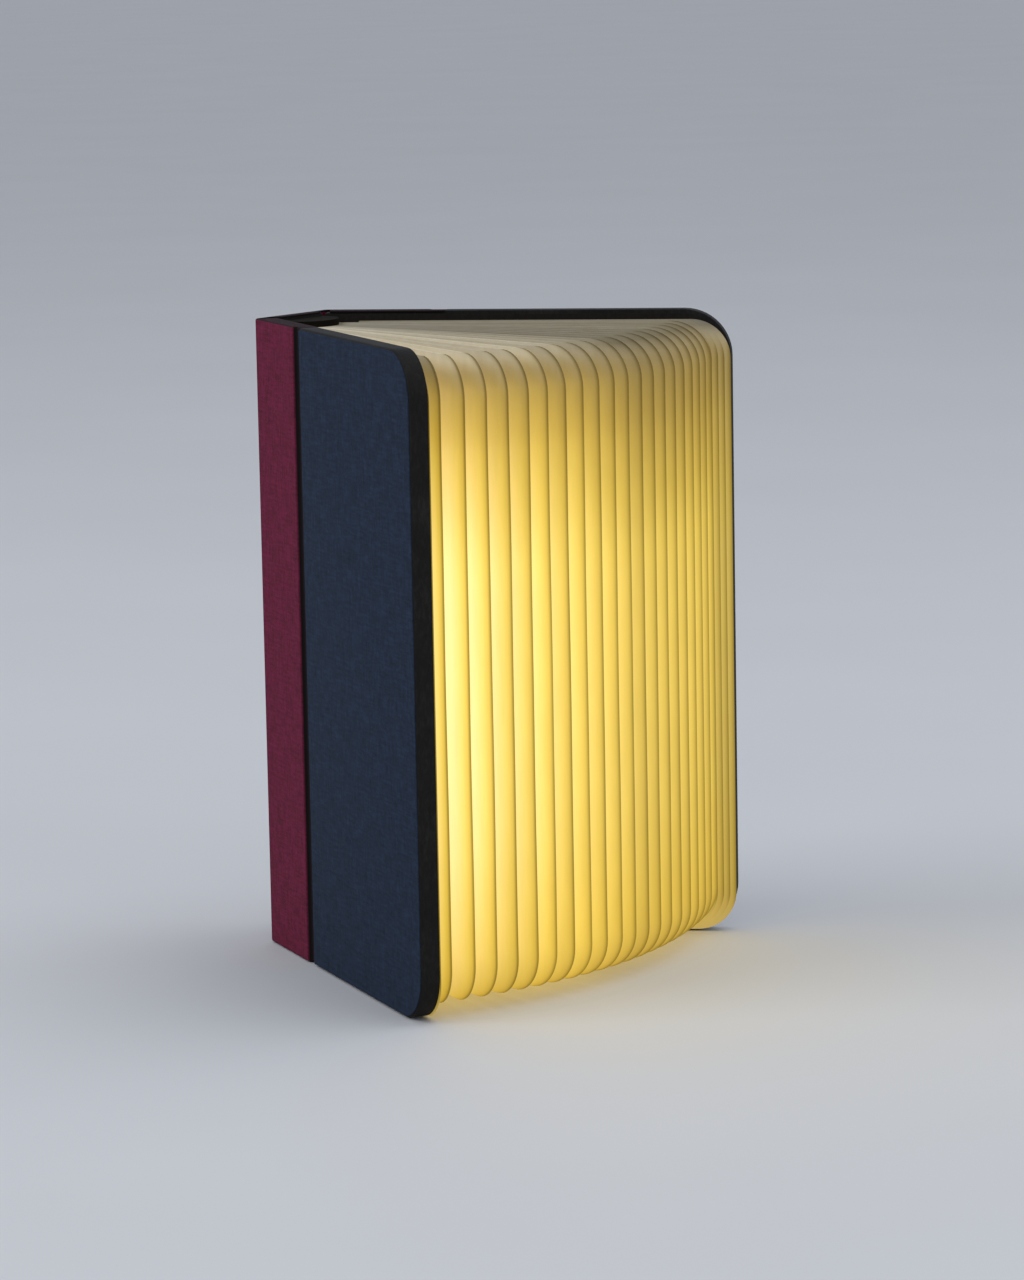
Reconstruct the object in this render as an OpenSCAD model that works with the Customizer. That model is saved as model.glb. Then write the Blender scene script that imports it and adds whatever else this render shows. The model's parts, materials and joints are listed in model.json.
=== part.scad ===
// Folding book lamp: two hinged covers, a lit core in the spine and a fan of paper pleats.
// It stands on z = 0 with the spine's outer face on y = 0 and the fore-edge towards +Y.
// The front cover is on the +X side. Every cover and pleat turns about an upright line.

/* [Covers] */
// Hinge line to fore-edge
cover_w = 104.5; // [90:0.5:130]
// Height of the spine and of the cloth at it
cover_h = 160; // [140:1:200]
// Thickness of a cover, cloth and lining included
cover_t = 5.1; // [4.4:0.1:6.4]
// Radius of the covers' fore-edge corners
cover_r = 12; // [4:0.5:20]
// How far each cover is open in the modelled pose
rest_open = 29.6; // [12:0.2:60]
// Width of the spine cloth's overlap on each cover
strip_w = 27.5; // [18:0.5:40]
// Width of the groove between the two cloths
groove_w = 4; // [2:0.5:6]
// Depth of the groove below the cloths
groove_d = 1; // [0.4:0.1:1.6]
// Thickness of the cloths
cloth_t = 0.5; // [0.3:0.1:0.8]
// Thickness of the black lining on the inner faces
lining_t = 0.3; // [0.2:0.1:0.6]
// Bare edge of the board round the lining
lining_in = 1; // [0.5:0.5:3]

/* [Magnets] */
// Diameter of the closing magnets
magnet_d = 10; // [6:0.5:14]
// Thickness of the closing magnets
magnet_t = 2; // [1:0.1:2.4]
// Closing magnets' centre, in from the fore-edge
magnet_in = 16; // [10:0.5:24]
// Distance between a cover's two closing magnets
magnet_span = 90; // [50:1:110]
// Diameter of the small magnet that works the switch
trigger_d = 5; // [3:0.5:6]

/* [Spine and core] */
// Width of the spine, which is the closed lamp's thickness
spine_w = 27.8; // [25:0.1:34]
// Thickness of the spine board
spine_board_t = 3; // [2:0.1:4]
// Spine's outer face to the front of the diffuser
core_depth = 13.2; // [12.6:0.1:16]
// Rise of the diffuser's arc above its edges
diffuser_rise = 5.7; // [4.8:0.1:6.4]
// Wall of the diffuser
diffuser_t = 1.2; // [0.8:0.1:1.6]
// Wall of the core's housing
wall = 1.2; // [0.8:0.1:1.6]
// Thickness of the end caps
cap_t = 2; // [1.4:0.1:3]
// Height of the rims that plug the caps into the core
plug_h = 2; // [1:0.1:3]
// How far the core's ends lie inside the spine's ends
core_in = 1; // [0.5:0.1:2]

/* [Light and power] */
// Number of light-emitting diodes
led_count = 14; // [8:1:20]
// Width of the light strip
strip_board_w = 9; // [6:0.5:10]
// Thickness of the circuit boards
board_t = 0.8; // [0.6:0.1:1.2]
// Length of the battery
battery_l = 60; // [40:1:70]
// Width of the battery
battery_w = 9.5; // [8:0.5:12]
// Thickness of the battery
battery_t = 3.8; // [3:0.1:4]
// Length of the charging board
charge_l = 26; // [22:1:30]

/* [Pleats] */
// Thickness of a folded pleat, both leaves
pleat_t = 0.45; // [0.3:0.05:0.5]
// Thickness of one leaf of paper
paper_t = 0.18; // [0.1:0.02:0.2]
// Thickness of the end leaves glued to the covers
leaf_t = 0.3; // [0.2:0.1:0.4]
// Pages' top and bottom edges, in from the covers' ends
page_in = 2; // [1:0.5:6]
// Pages' folds, in from the covers' fore-edge
fold_in = 0.5; // [0.5:0.5:4]
// Radius of the pages' corners
page_r = 10; // [4:0.5:16]

/* [Clearances] */
// Cover end to spine cloth
hinge_gap = 0.2; // [0.15:0.05:0.4]
// Core to the closed covers
core_gap = 0.3; // [0.2:0.05:0.5]
// Diffuser to the roots of the pleats
root_gap = 0.4; // [0.35:0.05:0.6]
// Outermost pleat to the end leaf when closed
pleat_gap = 0.25; // [0.2:0.05:0.4]
// Loose fit between pieces of the core
fit = 0.1; // [0.05:0.05:0.2]
// Charging board, inlet and charge light to the sides of the housing
side_gap = 0.5; // [0.3:0.1:0.8]
// Screw heads to the diodes beside them
led_gap = 0.6; // [0.3:0.1:1]

/* [Hidden] */
pleat_count = 20;
$fn = 48;

// Colours, as the photograph shows them
maroon = "#6b1a2e";
navy = "#1f2f45";
board_black = "#1a1817";
paper_white = "#f3ead2";
plastic_black = "#24221e";
frosted = "#f6efe0";
metal = "#b9bcc0";
circuit = "#20503a";

// Plan of the spine and core
half_in = spine_w / 2 - cover_t;
core_half = half_in - core_gap;
core_back = cloth_t + spine_board_t;
edge_y = core_depth - diffuser_rise;
diffuser_r = (core_half * core_half + diffuser_rise * diffuser_rise) / (2 * diffuser_rise);
arc_y = core_depth - diffuser_r;
housing_in = core_half - wall;
floor_y = core_back + wall;
cap_z = core_in;
housing_z = core_in + cap_t;
housing_h = cover_h - 2 * housing_z;

// Heights and depths inside the core, each stacked on the last
charge_z = housing_z + plug_h + 0.5;
charge_top = charge_z + charge_l;
post_r = 1.8;
screw_r = 0.9;
head_r = 1.5;
head_h = 0.9;
thread_l = 3;
low_post_z = charge_top + post_r + 0.6;
battery_z = low_post_z + post_r + 0.6;
mid_post_z = battery_z + battery_l + post_r + 1;
high_post_z = cover_h - housing_z - plug_h - 9;
strip_y = floor_y + 4.3;
strip_z = housing_z + plug_h + 7;
strip_h = high_post_z + 4 - strip_z;
led_size = [3.5, 0.7, 2.8];
lead_r = 0.6;
inlet_size = [8.9, 3.2, 7];
inlet_wall = 0.3;
inlet_x = -(housing_in - side_gap - inlet_size[0] / 2);
inlet_y = floor_y + fit + board_t + inlet_size[1] / 2;
pipe_r = 0.75;
pipe_x = housing_in - side_gap - pipe_r;
switch_size = [3, 1.4, 3];
switch_z = charge_z + 14;

// Heights and depths of the covers
board_h = cover_h - cloth_t;
board_y = cloth_t + hinge_gap;
cloth_y = strip_w + groove_w;
page_h = board_h - 2 * page_in;
fold_y = cover_w - fold_in;
leaf_y = core_depth + 2;
trigger_y = board_y + trigger_d / 2 + 3;

// Places of the pleats: number 1 lies beside the front cover and the last beside the back cover
pivot_r = diffuser_r + root_gap;
pivot_span = half_in - leaf_t - pleat_gap - pleat_t / 2;
function share(k) = 1 - 2 * (k - 1) / (pleat_count - 1);
function root_x(k) = pivot_span * share(k);
function root_y(k) = arc_y + sqrt(pivot_r * pivot_r - root_x(k) * root_x(k));

// Puts a closed front cover's solids at their place, hinged at the spine's corner
module front() {
    translate([spine_w / 2, 0, 0]) rotate([0, 0, -rest_open]) children();
}

// The same for the back cover, which mirrors the front one
module back() {
    mirror([1, 0, 0]) front() children();
}

// Sheet parallel to a closed cover, drawn as depth from the hinge by height
module layer(depth, thick) {
    translate([-depth - thick, 0, 0]) rotate([90, 0, 90]) linear_extrude(thick) children();
}

// Rectangle from y0 to y1 whose two corners at y1 are round
module fore_round(y0, y1, h, r) {
    translate([y0, 0]) square([y1 - r - y0, h]);
    translate([y1 - r - 0.01, r]) square([r + 0.01, h - 2 * r]);
    for (z = [r, h - r]) translate([y1 - r, z]) circle(r);
}

// Disc lying flat in a cover, its outer face at a depth below the cover's outer face
module disc(y, z, r, depth, thick) {
    translate([-depth - thick, y, z]) rotate([0, 90, 0]) cylinder(r = r, h = thick);
}

// Cover board with its groove and the pockets that open under the lining
module cover_board(with_trigger) {
    inner = cover_t - lining_t;
    color(board_black) difference() {
        layer(cloth_t, inner - cloth_t) difference() {
            fore_round(board_y, cover_w, board_h, cover_r);
            translate([0, -1]) square([strip_w, cloth_t + 1]);
        }
        translate([-cloth_t - groove_d, strip_w - cloth_t, -1])
            cube([2 * groove_d + cloth_t, groove_w + cloth_t, cover_h + 2]);
        for (s = [-1, 1])
            disc(cover_w - magnet_in, cover_h / 2 + s * magnet_span / 2,
                magnet_d / 2 + fit, inner - magnet_t - fit, magnet_t + 1);
        if (with_trigger)
            disc(trigger_y, switch_z + switch_size[2] / 2,
                trigger_d / 2 + fit, inner - magnet_t - fit, magnet_t + 1);
    }
}

// Cloth on the outer half of a cover
module cover_cloth() {
    color(navy) layer(0, cloth_t) fore_round(cloth_y, cover_w, board_h, cover_r);
}

// Spine cloth's share of a cover: face, turned ends, and the wall and floor of the groove
module spine_strip() {
    color(maroon) {
        layer(0, cloth_t) translate([board_y, 0]) square([strip_w - board_y, cover_h]);
        for (z = [0, board_h])
            translate([-cover_t, board_y, z]) cube([cover_t, strip_w - board_y, cloth_t]);
        translate([-cloth_t - groove_d, strip_w - cloth_t, 0])
            cube([groove_d + cloth_t, cloth_t, board_h]);
        translate([-cloth_t - groove_d, strip_w - cloth_t, 0])
            cube([cloth_t, groove_w + cloth_t, board_h]);
    }
}

// Lining paper on the inner face of a cover
module cover_lining() {
    color(board_black) layer(cover_t - lining_t, lining_t) translate([0, lining_in])
        fore_round(board_y + lining_in, cover_w - lining_in, board_h - 2 * lining_in,
            max(cover_r - lining_in, 1));
}

// Last leaf of the paper, glued to the lining
module end_leaf() {
    color(paper_white) layer(cover_t, leaf_t) translate([0, page_in])
        fore_round(leaf_y, fold_y, page_h, page_r);
}

// Pair of closing magnets
module cover_magnets() {
    color(metal) for (s = [-1, 1])
        disc(cover_w - magnet_in, cover_h / 2 + s * magnet_span / 2, magnet_d / 2,
            cover_t - lining_t - magnet_t, magnet_t);
}

module front_board() { front() cover_board(true); }
module front_cloth() { front() cover_cloth(); }
module front_spine_strip() { front() spine_strip(); }
module front_lining() { front() cover_lining(); }
module front_end_leaf() { front() end_leaf(); }
module front_magnets() { front() cover_magnets(); }
module back_board() { back() cover_board(false); }
module back_cloth() { back() cover_cloth(); }
module back_spine_strip() { back() spine_strip(); }
module back_lining() { back() cover_lining(); }
module back_end_leaf() { back() end_leaf(); }
module back_magnets() { back() cover_magnets(); }

// Small magnet at the hinge side of the front cover, level with the switch
module trigger_magnet() {
    color(metal) front() disc(trigger_y, switch_z + switch_size[2] / 2, trigger_d / 2,
        cover_t - lining_t - magnet_t, magnet_t);
}

// Box centred on x = 0
module bar(w, y0, depth, z0, h) {
    translate([-w / 2, y0, z0]) cube([w, depth, h]);
}

// Stiff board behind the spine cloth
module spine_board() {
    color(board_black) bar(2 * core_half, cloth_t, spine_board_t, cloth_t, cover_h - 2 * cloth_t);
}

// Cloth over the spine, hinge to hinge, with its ends turned over the spine board
module spine_cloth() {
    color(maroon) {
        bar(spine_w - 2 * hinge_gap, 0, cloth_t, 0, cover_h);
        for (z = [0, cover_h - cloth_t]) bar(2 * core_half, 0, core_back, z, cloth_t);
    }
}

// Outline of the core or of a smaller form inside it, inset by the same amount all round
module core_outline(inset) {
    translate([-core_half + inset, core_back + inset])
        square([2 * (core_half - inset), edge_y - core_back - inset]);
    intersection() {
        translate([0, arc_y]) circle(diffuser_r - inset, $fn = 96);
        translate([-core_half + inset, edge_y - 0.01]) square([2 * (core_half - inset), spine_w]);
    }
}

// Trough that holds the battery and boards, with posts for the light strip
module core_housing() {
    color(plastic_black) difference() {
        union() {
            translate([0, 0, housing_z]) linear_extrude(housing_h) difference() {
                translate([-core_half, core_back]) square([2 * core_half, edge_y - core_back]);
                translate([-housing_in, floor_y]) square([2 * housing_in, spine_w]);
            }
            for (z = [low_post_z, mid_post_z, high_post_z])
                translate([0, floor_y - 0.2, z]) rotate([-90, 0, 0])
                    cylinder(r = post_r, h = strip_y - floor_y + 0.2);
        }
        for (z = [low_post_z, mid_post_z, high_post_z])
            translate([0, floor_y, z]) rotate([-90, 0, 0]) cylinder(r = screw_r, h = spine_w);
    }
}

// Frosted arc that the pleats' roots stand round, with the rails that clip into the housing
module diffuser() {
    rail_in = plug_h + 4;
    rail_w = 1;
    color(frosted) {
        translate([0, 0, housing_z]) linear_extrude(housing_h) intersection() {
            difference() {
                translate([0, arc_y]) circle(diffuser_r, $fn = 96);
                translate([0, arc_y]) circle(diffuser_r - diffuser_t, $fn = 96);
            }
            translate([-spine_w, edge_y]) square([2 * spine_w, spine_w]);
        }
        for (s = [-1, 1])
            translate([s * (housing_in - fit - rail_w / 2) - rail_w / 2, edge_y - 1.5, housing_z + rail_in])
                cube([rail_w, 2, housing_h - 2 * rail_in]);
    }
}

// Cap with the rim that plugs into the core, standing on z = 0
module end_cap() {
    rim = 0.9;
    inset = max(wall, diffuser_t) + fit;
    linear_extrude(cap_t) core_outline(0);
    translate([0, 0, cap_t]) linear_extrude(plug_h) difference() {
        core_outline(inset);
        core_outline(inset + rim);
    }
}

module top_end_cap() {
    color(plastic_black) translate([0, 0, cover_h - cap_z]) mirror([0, 0, 1]) end_cap();
}

// Cap at the foot, with the mouth of the charging inlet and the charge light's hole
module bottom_end_cap() {
    color(plastic_black) difference() {
        translate([0, 0, cap_z]) end_cap();
        translate([inlet_x, inlet_y, cap_z - 1])
            linear_extrude(cap_t + plug_h + 2) slot(inlet_size[0] + 2 * fit, inlet_size[1] + 2 * fit);
        translate([pipe_x, inlet_y, cap_z - 1]) cylinder(r = pipe_r + fit, h = cap_t + plug_h + 2);
    }
}

// Long hole or plate with round ends, centred on the origin
module slot(w, d) {
    square([w - d, d], center = true);
    for (s = [-1, 1]) translate([s * (w - d) / 2, 0]) circle(d / 2);
}

// Narrow board that carries the diodes
module light_strip() {
    color("#ece8dc") difference() {
        bar(strip_board_w, strip_y, board_t, strip_z, strip_h);
        for (z = [low_post_z, mid_post_z, high_post_z])
            translate([0, strip_y - 1, z]) rotate([-90, 0, 0]) cylinder(r = screw_r + fit, h = board_t + 2);
    }
}

// Row of diodes, shared out over the three runs that the screws leave free
module leds() {
    clear = head_r + led_gap;
    ends = [[strip_z, low_post_z - clear], [low_post_z + clear, mid_post_z - clear],
        [mid_post_z + clear, high_post_z - clear]];
    spans = [for (e = ends) e[1] - e[0]];
    total = spans[0] + spans[1] + spans[2];
    low = round(led_count * spans[0] / total);
    high = round(led_count * spans[2] / total);
    counts = [low, led_count - low - high, high];
    color("#f2c94a") for (r = [0 : 2])
        for (i = [0 : counts[r] - 1])
            translate([-led_size[0] / 2, strip_y + board_t,
                ends[r][0] + (i + 0.5) * spans[r] / counts[r] - led_size[2] / 2]) cube(led_size);
}

// Self-tapping screws that hold the light strip to the posts
module strip_screws() {
    color(metal) for (z = [low_post_z, mid_post_z, high_post_z])
        translate([0, strip_y + board_t, z]) rotate([-90, 0, 0]) {
            cylinder(r1 = head_r, r2 = head_r * 0.8, h = head_h);
            translate([0, 0, -board_t - thread_l])
                cylinder(r = screw_r - 0.05, h = board_t + thread_l);
        }
}

// Flat pouch cell on the floor of the housing
module battery() {
    color("#8d9299") bar(battery_w, floor_y, battery_t, battery_z, battery_l);
}

// Two leads from the cell past the low post to the charging board
module battery_leads() {
    color("#a02020") for (s = [-1, 1])
        translate([s * (post_r + lead_r + 0.4), floor_y + fit + board_t + lead_r, charge_top - 3])
            cylinder(r = lead_r, h = battery_z - charge_top + 3);
}

// Charging board on the floor of the housing
module charge_board() {
    color(circuit) bar(2 * (housing_in - side_gap), floor_y + fit, board_t, charge_z, charge_l);
}

// Two leads from the charging board across to the light strip
module strip_leads() {
    color("#d8d2c0") for (s = [-1, 1])
        translate([s * 2, floor_y + fit + board_t, charge_top - 5]) rotate([-90, 0, 0])
            cylinder(r = lead_r, h = strip_y - floor_y - fit - board_t);
}

// Metal shell and tongue of the charging inlet
module charge_inlet() {
    color(metal) translate([inlet_x, inlet_y, cap_z + 0.2]) {
        linear_extrude(inlet_size[2]) difference() {
            slot(inlet_size[0], inlet_size[1]);
            slot(inlet_size[0] - 2 * inlet_wall, inlet_size[1] - 2 * inlet_wall);
        }
        translate([-3.3, -0.35, 0.8]) cube([6.6, 0.7, inlet_size[2] - 0.8]);
        translate([0, 0, inlet_size[2] - 0.6]) linear_extrude(0.6)
            slot(inlet_size[0] - inlet_wall, inlet_size[1] - inlet_wall);
    }
}

// Clear rod that shows the charging light under the foot
module charge_light() {
    color("#cfe8d6") translate([pipe_x, inlet_y, cap_z]) cylinder(r = pipe_r, h = charge_z + 1 - cap_z);
}

// Magnetic switch that lights the lamp when the front cover opens
module cover_switch() {
    color("#2b2b2f") translate([housing_in - 1.6 - switch_size[0], floor_y + fit + board_t, switch_z])
        cube(switch_size);
}

// Plan of a pleat: two leaves that meet in a fold and part slightly towards the root
module pleat_plan(length) {
    half = pleat_t / 2;
    slit = half - paper_t;
    polygon([[-half, 0], [-half, length - half], [0, length], [half, length - half], [half, 0],
        [slit, 0], [0, length - 2 * pleat_t], [-slit, 0]]);
}

// Pleat k, which pivots at its root in front of the diffuser
module pleat(k) {
    length = fold_y - root_y(k);
    color(paper_white) translate([root_x(k), root_y(k), 0]) rotate([0, 0, -rest_open * share(k)])
        intersection() {
            linear_extrude(cover_h) pleat_plan(length);
            translate([-1, 0, page_in]) rotate([90, 0, 90]) linear_extrude(2)
                fore_round(0, length, page_h, page_r);
        }
}

spine_board();
spine_cloth();
core_housing();
diffuser();
top_end_cap();
bottom_end_cap();
light_strip();
leds();
strip_screws();
battery();
battery_leads();
charge_board();
strip_leads();
charge_inlet();
charge_light();
cover_switch();
front_board();
front_cloth();
front_spine_strip();
front_lining();
front_end_leaf();
front_magnets();
trigger_magnet();
back_board();
back_cloth();
back_spine_strip();
back_lining();
back_end_leaf();
back_magnets();
pleat(1);  // pleat_01
pleat(2);  // pleat_02
pleat(3);  // pleat_03
pleat(4);  // pleat_04
pleat(5);  // pleat_05
pleat(6);  // pleat_06
pleat(7);  // pleat_07
pleat(8);  // pleat_08
pleat(9);  // pleat_09
pleat(10);  // pleat_10
pleat(11);  // pleat_11
pleat(12);  // pleat_12
pleat(13);  // pleat_13
pleat(14);  // pleat_14
pleat(15);  // pleat_15
pleat(16);  // pleat_16
pleat(17);  // pleat_17
pleat(18);  // pleat_18
pleat(19);  // pleat_19
pleat(20);  // pleat_20
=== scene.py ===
"""Looks of the folding book lamp: cloth covers, lit paper pleats and the core they turn on.

The lamp stands on z = 0 with the spine's outer face on y = 0 and the fore-edge towards +y. The
front cover is on the +x side. Lengths are in metres, written as millimetres times MM.
"""

import json
import logging
import math
from dataclasses import dataclass
from enum import Enum

import bmesh
import bpy
import numpy as np
from mathutils import Matrix, Vector
from numpy.typing import NDArray

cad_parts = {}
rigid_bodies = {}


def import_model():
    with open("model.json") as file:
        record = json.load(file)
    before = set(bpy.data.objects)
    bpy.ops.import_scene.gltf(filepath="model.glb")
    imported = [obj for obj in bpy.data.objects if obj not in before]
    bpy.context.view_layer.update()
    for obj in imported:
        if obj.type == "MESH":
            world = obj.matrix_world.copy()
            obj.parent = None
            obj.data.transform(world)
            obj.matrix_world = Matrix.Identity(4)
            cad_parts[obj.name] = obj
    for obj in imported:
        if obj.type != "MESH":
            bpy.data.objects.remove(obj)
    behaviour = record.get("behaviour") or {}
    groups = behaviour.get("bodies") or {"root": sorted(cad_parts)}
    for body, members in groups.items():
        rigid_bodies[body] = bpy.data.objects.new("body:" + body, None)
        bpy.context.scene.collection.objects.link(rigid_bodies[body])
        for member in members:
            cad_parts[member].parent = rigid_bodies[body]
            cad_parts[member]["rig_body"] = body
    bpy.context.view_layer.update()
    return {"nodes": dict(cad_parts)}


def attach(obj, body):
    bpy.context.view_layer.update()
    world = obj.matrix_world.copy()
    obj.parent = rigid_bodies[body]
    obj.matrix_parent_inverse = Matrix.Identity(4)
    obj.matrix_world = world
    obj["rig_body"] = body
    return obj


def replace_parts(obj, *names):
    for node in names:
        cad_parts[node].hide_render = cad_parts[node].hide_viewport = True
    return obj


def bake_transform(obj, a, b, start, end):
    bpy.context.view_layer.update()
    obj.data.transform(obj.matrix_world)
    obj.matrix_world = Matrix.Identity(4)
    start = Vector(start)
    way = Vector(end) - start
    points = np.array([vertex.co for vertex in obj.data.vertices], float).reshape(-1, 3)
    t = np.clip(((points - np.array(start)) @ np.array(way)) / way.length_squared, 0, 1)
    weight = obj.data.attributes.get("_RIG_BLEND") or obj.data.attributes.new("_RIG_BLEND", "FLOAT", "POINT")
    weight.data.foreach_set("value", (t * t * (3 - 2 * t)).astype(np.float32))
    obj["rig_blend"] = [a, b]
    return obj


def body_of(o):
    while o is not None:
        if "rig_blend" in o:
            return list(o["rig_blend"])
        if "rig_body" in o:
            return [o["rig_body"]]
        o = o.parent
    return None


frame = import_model()

MM = 0.001
TEXTURE_UNIT = 10 * MM
COVER_HEIGHT = 160 * MM
STRIP_WIDTH = 27.5 * MM
GROOVE_WIDTH = 4 * MM
PAGE_CORNER = 10 * MM
FOLD_UNIT = 100 * MM
SHARP_ANGLE = math.radians(35)
WHITE = (1.0, 1.0, 1.0)
NAVY = (0.0125, 0.0225, 0.045)
MAROON = (0.120, 0.0095, 0.034)

Grid = NDArray[np.float64]
Colour = tuple[float, float, float]
Place = tuple[float, float, float]
Stops = list[tuple[float, Colour]]
Piece = bpy.types.Object
Material = bpy.types.Material
Socket = bpy.types.NodeSocket
log = logging.getLogger("book_lamp")


class Side(Enum):
    """Cover that a piece belongs to, valued by the sign of its x."""

    FRONT = 1
    BACK = -1

    @property
    def body(self) -> str:
        """Name of the body that moves with this cover."""
        return f"{self.name.lower()}_cover"

    def node(self, part: str) -> str:
        """Name of this cover's CAD node for a part."""
        return f"{self.name.lower()}_{part}"


def ramp(x: Grid, start: float, end: float) -> Grid:
    """Rises smoothly from 0 at start to 1 at end: 3t^2 - 2t^3 of the clipped share t."""
    t = np.clip((x - start) / (end - start), 0, 1)
    return t * t * (3 - 2 * t)


def surface(name: str, points: Grid, uv: Grid | None = None, closed: bool = False) -> Piece:
    """Makes a mesh of quads from a grid of points.

    Args:
        name: Name of the object.
        points: Array of rows by columns by 3.
        uv: Array of rows by columns by 2, in texture units, or None.
        closed: Whether each row is a ring, and the first and last rings get a face each.

    Returns:
        The new object, smooth, with its sharp edges kept.
    """
    rows, columns = points.shape[:2]
    index = np.arange(rows * columns).reshape(rows, columns)
    here = index if closed else index[:, :-1]
    beside = np.roll(index, -1, axis=1) if closed else index[:, 1:]
    quads = np.stack([here[:-1], beside[:-1], beside[1:], here[1:]], axis=-1)
    faces = quads.reshape(-1, 4).tolist()
    if closed:
        faces += [index[0, ::-1].tolist(), index[-1].tolist()]
    mesh = bpy.data.meshes.new(name)
    mesh.from_pydata(points.reshape(-1, 3).tolist(), [], faces)
    if uv is not None:
        mesh.uv_layers.new(name="UVMap")
        write_uv(mesh, uv.reshape(-1, 2))
    return link(name, mesh)


def write_uv(mesh: bpy.types.Mesh, uv: Grid) -> None:
    """Gives every face corner the UV pair of its vertex."""
    corners = np.empty(len(mesh.loops), dtype=np.int32)
    mesh.loops.foreach_get("vertex_index", corners)
    mesh.uv_layers[0].data.foreach_set("uv", uv[corners].astype(np.float32).ravel())


def write_shade(mesh: bpy.types.Mesh, shade: Grid) -> None:
    """Writes how much light the paper passes on at each vertex."""
    attribute = mesh.attributes.new("shade", "FLOAT", "POINT")
    attribute.data.foreach_set("value", shade.astype(np.float32).ravel())


def add(name: str, data: bpy.types.ID) -> Piece:
    """Puts new data into the scene as an object at the origin."""
    made = bpy.data.objects.new(name, data)
    bpy.context.scene.collection.objects.link(made)
    return made


def link(name: str, mesh: bpy.types.Mesh) -> Piece:
    """Puts a mesh into the scene as a smooth object at the origin."""
    mesh.polygons.foreach_set("use_smooth", np.ones(len(mesh.polygons), dtype=bool))
    mesh.set_sharp_from_angle(angle=SHARP_ANGLE)
    mesh.update()
    return add(name, mesh)


def turn_outwards(piece: Piece) -> None:
    """Recalculates the normals of a closed mesh so that its faces point outwards."""
    work = bmesh.new()
    work.from_mesh(piece.data)
    bmesh.ops.recalc_face_normals(work, faces=work.faces)
    work.to_mesh(piece.data)
    work.free()
    piece.data.set_sharp_from_angle(angle=SHARP_ANGLE)


def thicken(piece: Piece, thickness: float) -> None:
    """Gives an open sheet its thickness, on the side that its normals point away from."""
    wall = piece.modifiers.new("thickness", "SOLIDIFY")
    wall.thickness = thickness
    wall.offset = -1
    wall.use_even_offset = False


def softened(node: str, name: str, width: float) -> Piece:
    """Copies a moulded CAD node with its edges rounded.

    Args:
        node: Name of the CAD node.
        name: Name of the new piece.
        width: Width of the rounding.

    Returns:
        The new piece, which replaces the node and rides with its body.
    """
    merge_distance, flat_angle, bevelled_angle = 1e-6, math.radians(1), math.radians(40)
    work = bmesh.new()
    work.from_mesh(frame["nodes"][node].data)
    bmesh.ops.remove_doubles(work, verts=work.verts, dist=merge_distance)
    bmesh.ops.dissolve_limit(work, angle_limit=flat_angle, verts=work.verts, edges=work.edges)
    bmesh.ops.recalc_face_normals(work, faces=work.faces)
    mesh = bpy.data.meshes.new(name)
    work.to_mesh(mesh)
    work.free()
    piece = link(name, mesh)
    bevel = piece.modifiers.new("rounding", "BEVEL")
    bevel.width = width
    bevel.segments = 2
    bevel.limit_method = "ANGLE"
    bevel.angle_limit = bevelled_angle
    bevel.use_clamp_overlap = True
    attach(piece, body_of(frame["nodes"][node])[0])
    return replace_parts(piece, node)


def dress(piece: Piece, material: Material) -> None:
    """Puts a material into every slot of a piece, or into a new one."""
    if not piece.material_slots:
        piece.data.materials.append(material)
    for holder in piece.material_slots:
        holder.material = material


def grid_area(points: Grid) -> float:
    """Area of a grid of points: half the cross product of each quad's diagonals, summed."""
    one = points[1:, 1:] - points[:-1, :-1]
    two = points[1:, :-1] - points[:-1, 1:]
    return float(np.linalg.norm(np.cross(one, two), axis=-1).sum() / 2)


class Nodes:
    """Node graph of a material or of the world."""

    def __init__(self, owner: Material | bpy.types.World) -> None:
        """Empties the graph of its owner."""
        owner.use_nodes = True
        self.tree = owner.node_tree
        self.tree.nodes.clear()

    def feed(self, target: Socket, value: Socket | Colour | float) -> None:
        """Links a socket to an input, or gives the input a constant."""
        if isinstance(value, Socket):
            self.tree.links.new(value, target)
        else:
            target.default_value = (*value, 1.0) if target.type == "RGBA" else value

    def node(
        self,
        kind: str,
        inputs: dict[str | int, Socket | Colour | float] | None = None,
        **settings: str,
    ) -> bpy.types.Node:
        """Adds a node.

        Args:
            kind: Its type, without the prefix that all shader nodes have.
            inputs: What feeds its inputs, by name or number.
            settings: Its properties.

        Returns:
            The node.
        """
        made = self.tree.nodes.new("ShaderNode" + kind)
        for name, value in settings.items():
            setattr(made, name, value)
        for name, value in (inputs or {}).items():
            self.feed(made.inputs[name], value)
        return made

    def math(self, operation: str, one: Socket, two: Socket | float) -> Socket:
        """Combines a socket with another socket or a number."""
        return self.node("Math", {0: one, 1: two}, operation=operation).outputs["Value"]


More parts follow.
